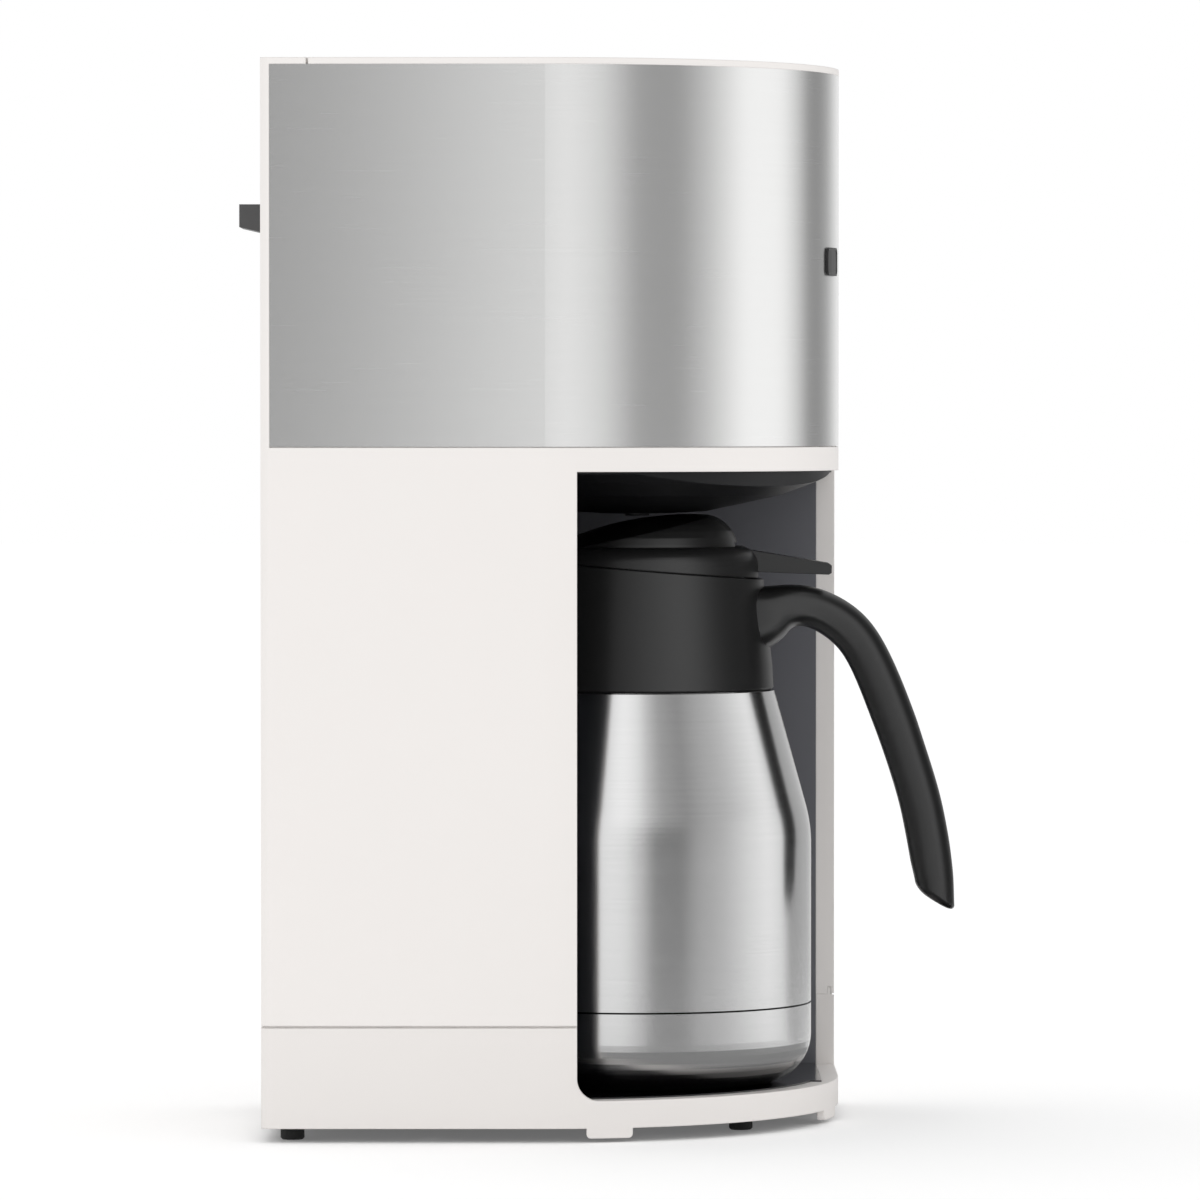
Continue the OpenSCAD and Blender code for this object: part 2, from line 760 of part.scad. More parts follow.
module top_lid() {
    color("#f1eeeb") difference() {
        union() {
            // plate, with its back edge behind the hinge posts
            intersection() {
                slab(0, rim_z, body_height);
                union() {
                    front_of(post_x + gap, rim_z, body_height);
                    block([hinge_x, -barrel_half, rim_z], [post_x + 1, barrel_half, body_height]);
                }
            }
            // barrel
            translate([hinge_x, -barrel_half, hinge_z]) rotate([-90, 0, 0])
                cylinder(r = barrel_r, h = 2*barrel_half);
            // skirt inside the housing
            intersection() {
                ring(wall + 0.9, wall + 2.7, rim_z - 6.3, rim_z + 1);
                front_of(post_x + 6, 0, body_height);
            }
        }
        for (s = [-1, 1]) {
            translate([hinge_x, s*(barrel_half - 12), hinge_z]) rotate([-90*s, 0, 0])
                cylinder(r = hinge_pin_r, h = 13, $fn = 48);
            // notch beside the cheek of the housing
            block([back_x, s > 0 ? half_w - wall - gap : -half_w - 1, rim_z - 1],
                [cheek_x + 0.7, s > 0 ? half_w + 1 : wall + gap - half_w, body_height + 1]);
        }
    }
}

module hinge_pins() {
    color("silver") for (s = [-1, 1])
        translate([hinge_x, s*(barrel_half - 11.8), hinge_z]) rotate([-90*s, 0, 0])
            cylinder(r = hinge_pin_r, h = 16, $fn = 48);
}

module shower_box() {
    r = basket_r - 7;
    z0 = deck_z + 4.2;
    color("#2e2e30") difference() {
        union() {
            at_pot() disc(r, z0, rim_z);
            block([spout_x - 6, -8, spout_z + 6.2], [pot_x, 8, rim_z]);
        }
        at_pot() disc(r - 2, z0 - 1, rim_z - 2);
        block([spout_x - 4, -6, spout_z + 8.2], [pot_x, 6, rim_z - 2]);
        translate([spout_x, 0, 0]) disc(5, spout_z + 5, spout_z + 9);
    }
}

module shower_plate() {
    r = basket_r - 7;
    z0 = deck_z + 2.7;
    color("#c4c4c2") at_pot() difference() {
        disc(r, z0, z0 + 1.5);
        for (k = [0:5])
            rotate([0, 0, 60*k]) translate([12, 0, 0]) disc(1.5, z0 - 1, z0 + 3, $fn = 24);
        for (k = [0:11])
            rotate([0, 0, 30*k]) translate([26, 0, 0]) disc(1.5, z0 - 1, z0 + 3, $fn = 24);
    }
}

// ---------- controls ----------

module start_button() {
    color("#2b2b2b") translate([button_x, 0, button_z]) rotate([-90, 0, 0]) difference() {
        union() {
            disc(button_r, half_w - 8, half_w - 0.2);
            disc(button_r + 1.4, half_w - wall - 3, half_w - wall - 0.4);
        }
        translate([0, 0, half_w + 24]) sphere(r = 25);
    }
}

module switch_body() {
    color("#3a3a3a") translate([button_x, 0, button_z]) {
        block([-9, half_w - 26, -7], [9, half_w - 8 - button_travel - 0.3, 7]);
        for (s = [-1, 1])
            block([s > 0 ? 10 : -13, half_w - 26, -7], [s > 0 ? 13 : -10, half_w - wall, 7]);
        block([-13, half_w - 28, -7], [13, half_w - 26, 7]);
    }
}

module indicator_lens() {
    color("#f4a53a") translate([lens_x, 0, button_z]) rotate([-90, 0, 0]) {
        disc(1.95, half_w - wall - 1, half_w - 0.1);
        disc(3, half_w - wall - 2, half_w - wall);
    }
}

// ---------- pot ----------

shoulder_a = 15.4;
shoulder_r = 52;

// Outer outline of the pot's steel body, drawn in by i, from the shoulder's foot to the neck
function shoulder(i) = let (
    neck = pot_neck_r - i,
    drop = (pot_r - pot_neck_r - shoulder_r*(1 - cos(shoulder_a)))/tan(shoulder_a),
    z1 = collar_z - gap - drop,
    z0 = z1 - shoulder_r*sin(shoulder_a))
    concat(arc([pot_r - shoulder_r, z0], shoulder_r - i, 0, shoulder_a), [[neck, collar_z - gap]]);

// Rounded foot of the pot, drawn in by i
function heel(i) = arc([pot_r - 17, pot_z + 17], 17 - i, -90, 0, 12);

function flipped(p) = [for (k = [len(p) - 1:-1:0]) p[k]];

module pot_shell() {
    w = pot_wall;
    color("#bcbcbb") turned(concat(
        [[pot_r - w, pot_groove_z + 0.3], [pot_r, pot_groove_z + 0.3]], shoulder(0),
        [[neck_in_r, collar_z - gap], [neck_in_r, mouth_z - w], [neck_in_r - w, mouth_z - w],
            [neck_in_r - w, collar_z - gap - w], [pot_neck_r - w, collar_z - gap - w]],
        [for (p = flipped(shoulder(w))) if (p.y < collar_z - gap - w) p]));
}

module pot_base() {
    w = pot_wall;
    color("#bcbcbb") turned(concat(
        [[0, pot_z]], heel(0), [[pot_r, pot_groove_z - 0.3], [pot_r - w, pot_groove_z - 0.3],
            [pot_r - w, pot_groove_z + 0.3], [pot_r - 2*w, pot_groove_z + 0.3]],
        flipped(heel(2*w)), [[0, pot_z + 2*w]]));
}

module pot_liner() {
    w = pot_wall;
    i = liner_gap;
    inner = [for (p = flipped(shoulder(i + w))) if (p.x > mouth_r && p.y < collar_z - 8) p];
    outer = [for (p = shoulder(i)) if (p.x > mouth_r + w && p.y < collar_z - 8) p];
    color("#c6c6c4") turned(concat(
        [[liner_r, liner_seam_z]], outer,
        [[mouth_r + w, collar_z - 3], [mouth_r + w, mouth_z - w], [neck_in_r, mouth_z - w],
            [neck_in_r, mouth_z], [mouth_r, mouth_z], [mouth_r, collar_z - 3 - w]],
        inner, [[liner_r - w, liner_seam_z]]));
}

module liner_cup() {
    w = pot_wall;
    heel_r = 12;
    foot = pot_z + 5;
    color("#c6c6c4") turned(concat(
        [[0, foot]], arc([liner_r - heel_r, foot + heel_r], heel_r, -90, 0),
        [[liner_r, liner_seam_z], [liner_r - w, liner_seam_z]],
        flipped(arc([liner_r - heel_r, foot + heel_r], heel_r - w, -90, 0)), [[0, foot + w]]));
}

// Space above the slanted seam between collar and lid
module above_seam(lift) {
    translate([pot_x, 0, seam_lid_z + lift]) rotate([0, seam_tilt, 0])
        translate([-90, -90, 0]) cube([180, 180, 60]);
}

collar_low_r = pot_neck_r - 0.3;
collar_top_r = 43;

module pot_collar() {
    color("#2b2b2b") difference() {
        turned([[neck_in_r + 0.05, collar_z + 0.1], [collar_low_r - 0.8, collar_z],
            [collar_low_r, collar_z + 0.8], [collar_low_r - 0.4, collar_z + 8],
            [collar_top_r, seam_lid_z + 8], [plug_r + 1.2, seam_lid_z + 8], [plug_r + 1.2, mouth_z + 0.1],
            [neck_in_r + 0.05, mouth_z + 0.1]]);
        above_seam(-0.2);
        // screw hole of the handle
        translate([-1, 0, 0]) handle_bore(2);
    }
}

module handle_bore(r) {
    translate([pot_x + plug_r + 1.3, 0, handle_z]) rotate([0, 90, 0]) cylinder(r = r, h = 14, $fn = 32);
}

// Rounded section of the handle, n points
function section(t, w, n = 20) = [for (k = [0:n - 1]) let (a = 360*k/n, c = cos(a), s = sin(a))
    [t*sign(c)*pow(abs(c), 0.72), w*sign(s)*pow(abs(s), 0.72)]];

// Smooth curve through the stations
function blend(p, q, r, s, t) = 0.5*((2*q) + (r - p)*t + (2*p - 5*q + 4*r - s)*t*t
    + (3*q - p - 3*r + s)*t*t*t);
function station(k) = handle_at[min(max(k, 0), len(handle_at) - 1)];

module handle_sweep() {
    steps = 3;
    sides = 20;
    n = (len(handle_at) - 1)*steps;
    mid = [for (i = [0:n]) let (k = floor(i/steps))
        blend(station(k - 1), station(k), station(k + 1), station(k + 2), i/steps - k)];
    rings = [for (i = [0:n]) let (a = mid[max(i - 1, 0)], b = mid[min(i + 1, n)],
        d = [b[0] - a[0], b[1] - a[1]], u = d/norm(d), m = mid[i])
        [for (q = section(max(m[2], 0.3), max(m[3], 0.6), sides))
            [pot_x + m[0] - (u[1] - m[4]*u[0])*q[0], q[1], collar_z + m[1] + (u[0] + m[4]*u[1])*q[0]]]];
    faces = concat(
        [[for (j = [0:sides - 1]) j]],
        [for (i = [0:n - 1], j = [0:sides - 1]) let (k = (j + 1) % sides)
            [i*sides + j, (i + 1)*sides + j, (i + 1)*sides + k, i*sides + k]],
        [[for (j = [sides - 1:-1:0]) n*sides + j]]);
    polyhedron(points = [for (ring = rings) each ring], faces = faces, convexity = 6);
}

module pot_handle() {
    seat = 0.03;
    color("#303030") difference() {
        handle_sweep();
        turned([[0, collar_z - 5], [collar_low_r + seat, collar_z - 5], [collar_low_r + seat, collar_z + 0.8],
            [collar_low_r - 0.4 + seat, collar_z + 8], [collar_top_r + seat, seam_lid_z + 8],
            [0, seam_lid_z + 8]]);
        handle_bore(1.5);
    }
}

module handle_screw() {
    color("silver") {
        handle_bore(1.45);
        translate([pot_x + plug_r + 1.3, 0, handle_z]) rotate([0, 90, 0])
            cylinder(r = 1.9, h = 1.5, $fn = 32);
    }
}

// ---------- pot lid ----------

// Low dome with a rounded rim, drawn in by i
module crown(i) {
    r = 35.5 - i;
    top = pot_top_z - i;
    intersection() {
        turned(concat([[0, mouth_z], [r, mouth_z]], arc([r - 13 + i, top - 13 + i], 13 - i, 0, 90),
            [[0, top]]));
        translate([crown_x, 0, pot_top_z - crown_r]) sphere(r = crown_r - i, $fn = 180);
    }
}

// Sloping shoulder between the seam and the dome, drawn in by i
module skirt_cone(i) {
    turned(concat([[0, mouth_z], [collar_top_r + 0.2 - i, mouth_z]],
        [[collar_top_r + 0.2 - i, seam_lid_z + 1]],
        arc([collar_top_r - 6.8, seam_lid_z + 1], 7 - i, 15, 75),
        [[34 - i, seam_lid_z + 7.5 - i], [0, seam_lid_z + 7.5 - i]]));
}

module lid_dome() {
    color("#2b2b2b") difference() {
        intersection() {
            union() {
                difference() {
                    union() {
                        crown(0);
                        skirt_cone(0);
                    }
                    crown(2);
                    skirt_cone(2);
                }
                // flange onto the plug, spigot round the inlet
                intersection() {
                    at_pot() tube(collar_top_r - 1, plug_r - 2, seam_lid_z - 6, seam_lid_z + 6);
                    difference() {
                        above_seam(0);
                        above_seam(1.8);
                    }
                }
                intersection() {
                    at_pot() tube(sleeve_r + 2, sleeve_r + 0.1, pot_top_z - 8, pot_top_z);
                    crown(1);
                }
                // ears of the lever's pin
                intersection() {
                    crown(1);
                    for (s = [-1, 1])
                        block([lever_x - 3.5, s > 0 ? lever_w/2 + 0.5 : -lever_w/2 - 3, lever_z - 3.5],
                            [lever_x + 3.5, s > 0 ? lever_w/2 + 3 : -lever_w/2 - 0.5, pot_top_z]);
                }
            }
            above_seam(0.2);
        }
        at_pot() disc(inlet_r, seam_lid_z, pot_top_z + 5);
        // window of the lever
        block([lever_x - 6, -lever_w/2 - gap, seam_lid_z - 8],
            [pot_x + 60, lever_w/2 + gap, lever_z + 6.5]);
        translate([lever_x, -lever_w/2 - 3, lever_z]) rotate([-90, 0, 0])
            cylinder(r = lever_pin_r, h = lever_w + 6, $fn = 32);
        // pouring slot on the side away from the handle
        block([pot_x - 50, -7, seam_lid_z - 2], [pot_x - 34, 7, seam_lid_z + 5.5]);
    }
}

module lid_plug() {
    color("#343436") difference() {
        union() {
            difference() {
                at_pot() tube(plug_r, plug_r - 2, mouth_z + 0.6, seam_lid_z + 9);
                above_seam(0.2);
            }
            at_pot() {
                tube(plug_r, inlet_r, bridge_z, bridge_z + 2);
                tube(sleeve_r, inlet_r, bridge_z, pot_top_z - 5.5);
            }
        }
        at_pot() {
            tube(plug_r + 1, plug_r - 0.6, mouth_z + 4, mouth_z + 7);
            for (k = [0:7])
                rotate([0, 0, 45*k]) translate([9.8, 0, 0]) disc(1.7, bridge_z - 1, bridge_z + 3, $fn = 24);
        }
        block([pot_x - 50, -7, bridge_z + 2], [pot_x - 30, 7, seam_lid_z + 9]);
        block([lever_x - 6, -lever_w/2 - gap, lever_z - 6], [pot_x + 60, lever_w/2 + gap, seam_lid_z + 9]);
    }
}

module lid_seal() {
    color("#8a8a86") at_pot() tube(plug_r + 1.15, plug_r - 0.55, mouth_z + 4.1, mouth_z + 6.9);
}

module pour_valve() {
    r = sleeve_r + gap;
    z = bridge_z + 2.1;
    color("#5a5a5c") at_pot() {
        tube(r + 1.8, r, z, z + 9);
        tube(r + 6.5, r, z, z + 2);
        tube(r + 5, r, z + 7.5, z + 9);
    }
}

module pour_spring() {
    color("silver") at_pot() spring(sleeve_r + 1.9, 0.4, bridge_z + 11.2, pot_top_z - 9.8, 3);
}

// Lever: a wedge outside the lid, a fork inside it, and a boss on the pin
module pour_lever() {
    w = lever_w/2;
    fork_z = bridge_z + 7.3;
    prong_y = sleeve_r + 2.7;
    tip_x = pot_x + 67.9;
    color("#2f2f30") difference() {
        union() {
            translate([0, w, 0]) rotate([90, 0, 0]) linear_extrude(height = lever_w)
                polygon([[lever_x, lever_z - 3], [lever_x, lever_z + 3.4], [lever_x + 4, lever_z + 4.7],
                    [tip_x - 1, lever_z - 0.6], [tip_x, lever_z - 1.4], [tip_x, lever_z - 4],
                    [tip_x - 1, lever_z - 4.6], [lever_x + 8, lever_z - 3.6]]);
            translate([lever_x, -w, lever_z]) rotate([-90, 0, 0]) cylinder(r = 3.4, h = lever_w);
            // fork, dropping from the boss to the sleeve
            for (s = [-1, 1])
                block([pot_x - 2, s > 0 ? prong_y : -prong_y - 2, fork_z],
                    [lever_x - 4, s > 0 ? prong_y + 2 : -prong_y, fork_z + 2]);
            block([lever_x - 7, -prong_y - 2, fork_z], [lever_x - 4, prong_y + 2, fork_z + 4]);
            block([lever_x - 7, -w, fork_z], [lever_x, w, lever_z]);
        }
        translate([lever_x, -w - 1, lever_z]) rotate([-90, 0, 0])
            cylinder(r = lever_pin_r + 0.05, h = lever_w + 2, $fn = 32);
    }
}

module lever_pin() {
    color("silver") translate([lever_x, -lever_w/2 - 3, lever_z]) rotate([-90, 0, 0])
        cylinder(r = lever_pin_r, h = lever_w + 6, $fn = 32);
}

// ---------- assembly ----------

base_shell();
base_plate();
feet();
base_screws();
bay_floor();
body_shell();
bay_liner();
steel_wrap();
rear_spacer();
cord_gland();
terminal_block();
flow_heater();
thermostat();
thermal_fuses();
check_valve();
cold_hose();
hot_hose();
outlet_tube();
water_tank();
brew_deck();
drip_hood();
filter_basket();
valve_cage();
drip_valve();
drip_spring();
top_lid();
hinge_pins();
shower_box();
shower_plate();
start_button();
switch_body();
indicator_lens();
pot_shell();
pot_base();
pot_liner();
liner_cup();
pot_collar();
pot_handle();
handle_screw();
lid_dome();
lid_plug();
lid_seal();
pour_valve();
pour_spring();
pour_lever();
lever_pin();
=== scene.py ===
# %% [markdown]
# # A drip coffee maker with a vacuum pot
#
# The solid model of the machine is the fixed frame: every moulding, screw and spring is already in its place.
# Here each of them gets its finish, and the few pieces whose feel depends on soft, flowing surfaces are made
# again as meshes or added. Everything is in metres. +X is the machine's front, -Y its open side, +Z is up.

# %% Load the frame
import json
import math
import bpy
import bmesh
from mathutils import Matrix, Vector


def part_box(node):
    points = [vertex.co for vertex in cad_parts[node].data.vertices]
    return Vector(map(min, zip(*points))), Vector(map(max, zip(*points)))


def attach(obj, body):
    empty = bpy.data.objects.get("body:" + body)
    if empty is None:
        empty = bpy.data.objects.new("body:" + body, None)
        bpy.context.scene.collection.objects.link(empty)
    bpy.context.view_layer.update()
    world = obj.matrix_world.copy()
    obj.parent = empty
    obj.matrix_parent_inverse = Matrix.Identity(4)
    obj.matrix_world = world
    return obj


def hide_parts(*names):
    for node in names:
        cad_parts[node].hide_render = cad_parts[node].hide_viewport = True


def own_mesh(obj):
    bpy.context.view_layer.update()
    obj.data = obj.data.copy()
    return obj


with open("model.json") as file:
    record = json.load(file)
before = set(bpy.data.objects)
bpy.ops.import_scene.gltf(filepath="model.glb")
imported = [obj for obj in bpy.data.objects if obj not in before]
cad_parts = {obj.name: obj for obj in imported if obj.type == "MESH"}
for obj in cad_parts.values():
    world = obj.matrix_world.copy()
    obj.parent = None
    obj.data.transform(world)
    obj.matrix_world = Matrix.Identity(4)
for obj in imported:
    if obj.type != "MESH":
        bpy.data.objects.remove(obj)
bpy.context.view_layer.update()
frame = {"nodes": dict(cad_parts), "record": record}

nodes = frame["nodes"]

# %% [markdown]
# ## Camera
#
# A product picture is usually taken from far away with a long lens, so that upright edges stay upright and
# the object keeps its true proportions. A short lens near the machine would swell its near side. The camera
# stands 2.64 m away, at two thirds of the machine's height, and looks down by a little over one degree.

# %% Place the camera
camera_away = 2.639
camera_up = 0.2472
camera_down_tilt = math.radians(1.386)
level = math.radians(90)

camera = bpy.data.objects.new("camera", bpy.data.cameras.new("camera"))
bpy.context.scene.collection.objects.link(camera)
camera.location = (0, -camera_away, camera_up)
camera.rotation_euler = (level - camera_down_tilt, 0, 0)
camera.data.sensor_width = 36
camera.data.lens = 226.1
camera.data.clip_end = 50
bpy.context.scene.camera = camera
bpy.context.scene.view_settings.view_transform = "Standard"
print("camera at", tuple(round(v, 3) for v in camera.location), "with a lens of", camera.data.lens, "mm")

# %% [markdown]
# ## Node maths as Python
#
# A procedural material is arithmetic on the surface's own coordinates. Wiring each Math node by hand hides
# that arithmetic, so a small class wraps one output socket and lets +, - and * add the nodes. The reflected
# forms make 1 - mask work as well. Any node that isn't plain maths comes from one method of the finish.

# %% Wire and Finish
class Wire:
    """One output socket of a finish, which Python's operators work on."""

    def __init__(self, finish, socket):
        self.finish = finish
        self.socket = socket

    def maths(self, operation, first, second):
        return self.finish.node("ShaderNodeMath", {"operation": operation}, {0: first, 1: second})

    def __add__(self, other):
        return self.maths("ADD", self, other)

    def __mul__(self, other):
        return self.maths("MULTIPLY", self, other)

    def __sub__(self, other):
        return self.maths("SUBTRACT", self, other)

    def __rsub__(self, other):
        return self.maths("SUBTRACT", other, self)

    __radd__ = __add__
    __rmul__ = __mul__

    def above(self, edge):
        """1 where the wire is over the edge, and 0 elsewhere."""
        return self.maths("GREATER_THAN", self, edge)

    def spread(self, low, high, start=0.0, end=1.0):
        """The wire's range low..high turned into start..end and held there."""
        values = {"Value": self, "From Min": low, "From Max": high, "To Min": start, "To Max": end}
        return self.finish.node("ShaderNodeMapRange", {"clamp": True}, values)


# The Mix node has a set of sockets for each kind of data, so its colour sockets are told by number, and so
# is the Texture Coordinate node's output for the object's own coordinates.
MIX_FACTOR, MIX_FIRST, MIX_SECOND = 0, 6, 7
MIX_COLOUR = 2
OBJECT_POINT = 3


class Finish:
    """A material under construction, with its Principled shader."""

    def __init__(self, name):
        self.material = bpy.data.materials.new(name)
        self.material.use_nodes = True
        self.tree = self.material.node_tree
        self.shader = self.tree.nodes["Principled BSDF"]

    def node(self, kind, settings=None, sockets=None, out=0):
        """Any node: its settings first, then the values or wires of its sockets."""
        made = self.tree.nodes.new(kind)
        for key, value in (settings or {}).items():
            if key == "stops":
                self.set_stops(made.color_ramp, value)
            else:
                setattr(made, key, value)
        for key, value in (sockets or {}).items():
            if isinstance(value, Wire):
                self.tree.links.new(value.socket, made.inputs[key])
            else:
                made.inputs[key].default_value = value
        return Wire(self, made.outputs[out])

    def set_stops(self, ramp, stops):
        while len(ramp.elements) < len(stops):
            ramp.elements.new(0.5)
        for element, (place, colour) in zip(ramp.elements, stops):
            element.position = place
            element.color = (*colour, 1)

    def point(self):
        """The point on the surface, in metres."""
        return self.node("ShaderNodeTexCoord", out=OBJECT_POINT)

    def place(self, scale=(1, 1, 1)):
        """The point on the surface, stretched by scale."""
        return self.node("ShaderNodeVectorMath", {"operation": "MULTIPLY"}, {0: self.point(), 1: scale})

    def axis(self, point, number):
        """One coordinate of a point: 0 for x, 1 for y, 2 for z."""
        return self.node("ShaderNodeSeparateXYZ", {}, {0: point}, out=number)

    def noise(self, scale, detail=2.0, stretch=(1, 1, 1), roughness=0.5):
        values = {"Vector": self.place(stretch), "Scale": scale, "Detail": detail, "Roughness": roughness}
        return self.node("ShaderNodeTexNoise", {}, values)

    def tint(self, mask, tone, colour):
        """A tone that gives way to a colour where the mask is 1."""
        values = {MIX_FACTOR: mask, MIX_FIRST: tone, MIX_SECOND: (*colour, 1)}
        return self.node("ShaderNodeMix", {"data_type": "RGBA"}, values, out=MIX_COLOUR)

    def blend(self, factor, first, second):
        """Two plain colours, mixed by a factor that varies over the surface."""
        return self.tint(factor, (*first, 1), second)

    def relief(self, height, depth, edge=0.0):
        """Bump from a height, on normals that are rounded over the part's edges."""
        values = {"Height": height, "Distance": depth, "Strength": 1.0}
        if edge:
            values["Normal"] = self.node("ShaderNodeBevel", {"samples": 4}, {"Radius": edge})
        return self.node("ShaderNodeBump", {}, values)

    def surface(self, **values):
        """Sets the shader's sockets; plain numbers stay on the sockets themselves."""
        for key, value in values.items():
            socket = self.shader.inputs[key.replace("_", " ")]
            if isinstance(value, Wire):
                self.tree.links.new(value.socket, socket)
            else:
                socket.default_value = value
        return self.material


print("node maths ready")

# %% [markdown]
# ## Moulded plastics
#
# An injection-moulded wall is never one flat colour. It carries the spark-eroded grain of its mould, faint
# clouds where the melt cooled at different speeds, and it shines a little more where hands touch it. One
# helper makes all of the mouldings from those three effects, so that only colour, grain and gloss differ.
# A finer rounding of the edges comes from a bevel of the normals: real moulds have no knife edges.

# %% A helper for mouldings, and the mouldings' finishes
def shaded(colour, factor):
    return tuple(channel * factor for channel in colour)


micron = 0.000001
cloud_scale = 14
handling_scale = 55


def moulding(name, colour, roughness, grain=2600, depth=10 * micron, edge=0.0006, clouds=0.02, coat=0.0,
        shine=0.5, uneven=0.04):
    """A moulded plastic: grain and depth set the mould's skin, clouds and uneven how much it varies."""
    finish = Finish(name)
    cloud = finish.noise(cloud_scale, detail=3)
    skin = finish.noise(grain, detail=2)
    tone = finish.blend(cloud, shaded(colour, 1 - clouds), shaded(colour, 1 + clouds))
    handled = finish.noise(handling_scale, detail=4)
    gloss = handled.spread(0.2, 0.8, roughness - uneven, roughness + uneven)
    return finish.surface(Base_Color=tone, Roughness=gloss, Specular_IOR_Level=shine, Coat_Weight=coat,
        Coat_Roughness=0.12, Normal=finish.relief(skin, depth, edge))


finishes = {
    "white_plastic": moulding("white_plastic", (0.83, 0.798, 0.775), 0.42, depth=6 * micron, clouds=0.008),
    "base_plastic": moulding("base_plastic", (0.80, 0.768, 0.745), 0.42, depth=6 * micron, clouds=0.008),
    "liner_plastic": moulding("liner_plastic", (0.108, 0.110, 0.126), 0.5, grain=1900, depth=20 * micron,
        shine=0.72),
    "floor_plastic": moulding("floor_plastic", (0.010, 0.010, 0.012), 0.16, depth=2 * micron, coat=0.6),
    "black_plastic": moulding("black_plastic", (0.0105, 0.0105, 0.0107), 0.32, depth=6 * micron, clouds=0.06,
        shine=0.42, uneven=0.008),
    "hood_plastic": moulding("hood_plastic", (0.006, 0.006, 0.007), 0.42, depth=12 * micron, shine=0.25),
    "grey_plastic": moulding("grey_plastic", (0.055, 0.055, 0.056), 0.45, depth=12 * micron, clouds=0.05),
    "ceramic": moulding("ceramic", (0.70, 0.66, 0.56), 0.6, grain=900, depth=30 * micron, clouds=0.05),
    "rubber": moulding("rubber", (0.020, 0.020, 0.020), 0.75, grain=1500, depth=30 * micron, clouds=0.15),
}
print(len(finishes), "mouldings:", ", ".join(finishes))

# %% [markdown]
# ## Brushed steel
#
# The wrap and the pot are brushed along the horizontal: thousands of fine scratches, long in one direction
# and a fraction of a millimetre apart in the other. Noise that is squeezed in z and stretched in x and y
# draws them on flat and curved sheet alike. The scratches also smear reflections upright, across the
# brushing, and the shader's anisotropy does that: its quarter turn puts the smear across the grain. The
# pot's brushing is coarse enough to feel, so it has relief too. The wrap's is finer, and only its tone and
# gloss vary. Round the pot, where its base cup is pressed on, runs a line of painted shade that stands for
# the shadow in the groove. Below it the heel, which turns under, carries a painted reflection: it is
# darkened towards its foot as if it mirrored the dark floor that the pot stands on.

# %% Steel finishes
usual = (0.3, 0.7)
brush_turn = 0.25
fine_stretch = 22
broad_stretch = 6
seam_shadow_half = 0.00031
heel_reflection_top = 0.0185
heel_reflection_foot = 0.0215


def brushed(name, colour, roughness, lines, depth, contrast, uneven, seam=None):
    """Brushed steel: lines sets how close its scratches lie, and seam the height of its painted shadow line.
    """
    finish = Finish(name)
    fine = finish.noise(1.0, detail=3, stretch=(fine_stretch, fine_stretch, lines), roughness=0.6)
    broad = finish.noise(1.0, detail=2, stretch=(broad_stretch, broad_stretch, lines / 4))
    streak = fine * 0.8 + broad * 0.2
    tone = finish.blend(streak.spread(*usual), shaded(colour, 1 - contrast), shaded(colour, 1 + contrast))
    gloss = streak.spread(*usual, roughness - uneven, roughness + uneven)
    if seam:
        height = finish.axis(finish.point(), 2)
        # Painted shade: a thin dark band at the seam's height stands for the shadow in the groove at the base
        # cup.
        painted_seam_shadow = height.above(seam - seam_shadow_half) * (1 - height.above(seam + seam_shadow_half))
        tone = finish.tint(painted_seam_shadow, tone, (0.02, 0.02, 0.02))
        # Painted reflection: the heel below the seam darkens towards its foot, as if it mirrored the dark
        # floor.
        painted_heel_reflection = height.spread(seam - heel_reflection_foot, seam - heel_reflection_top, 1.0, 0.0)
        tone = finish.tint(painted_heel_reflection, tone, shaded(colour, 0.2))
    if depth:
        finish.surface(Normal=finish.relief(streak, depth))
    return finish.surface(Base_Color=tone, Metallic=1.0, Roughness=gloss, Anisotropic=0.7,
        Anisotropic_Rotation=brush_turn)


pot_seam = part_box("pot_shell")[0][2] - 0.0003
finishes["steel"] = brushed("steel", (0.66, 0.66, 0.655), 0.27, lines=3600, depth=0, contrast=0.014,
    uneven=0.004)
finishes["pot_steel"] = brushed("pot_steel", (0.62, 0.62, 0.62), 0.22, lines=3000, contrast=0.03,
    depth=0.6 * micron, uneven=0.015, seam=pot_seam)
print("steel:", [name for name in finishes if "steel" in name])

# %% [markdown]
# ## Inner metals, rubbers and clear parts
#
# What shows when the lid is open or the machine is turned over has to be as true as the outside: bright zinc
# on the screws and pins, a grainy casting for the heater, milky silicone hoses and a smoked water tank. Each
# is one short recipe of the same kind, so that nobody has to guess which part is made of what.

# %% Finishes of the inner parts
patch_scale = 120
rubbed_scale = 60
skin_scale = 700


def metal(name, colour, roughness, grain, depth, edge=0.0002):
    """A bright or cast metal, duller in patches."""
    finish = Finish(name)
    patch = finish.noise(patch_scale, detail=4)
    skin = finish.noise(grain, detail=3)
    tone = finish.blend(patch, shaded(colour, 0.88), shaded(colour, 1.08))
    gloss = patch.spread(*usual, roughness - 0.05, roughness + 0.08)
    return finish.surface(Base_Color=tone, Metallic=1.0, Roughness=gloss,
        Normal=finish.relief(skin, depth, edge))


def soft(name, colour, roughness, subsurface=0.0, alpha=1.0):
    """A rubber or a clear part: subsurface makes it milky, and alpha lets one see through."""
    finish = Finish(name)
    cloud = finish.noise(rubbed_scale, detail=3)
    skin = finish.noise(skin_scale)
    tone = finish.blend(cloud, shaded(colour, 0.92), shaded(colour, 1.06))
    return finish.surface(Base_Color=tone, Roughness=roughness, Subsurface_Weight=subsurface,
        Subsurface_Scale=0.002, Alpha=alpha, Normal=finish.relief(skin, 10 * micron, edge=0.0003))


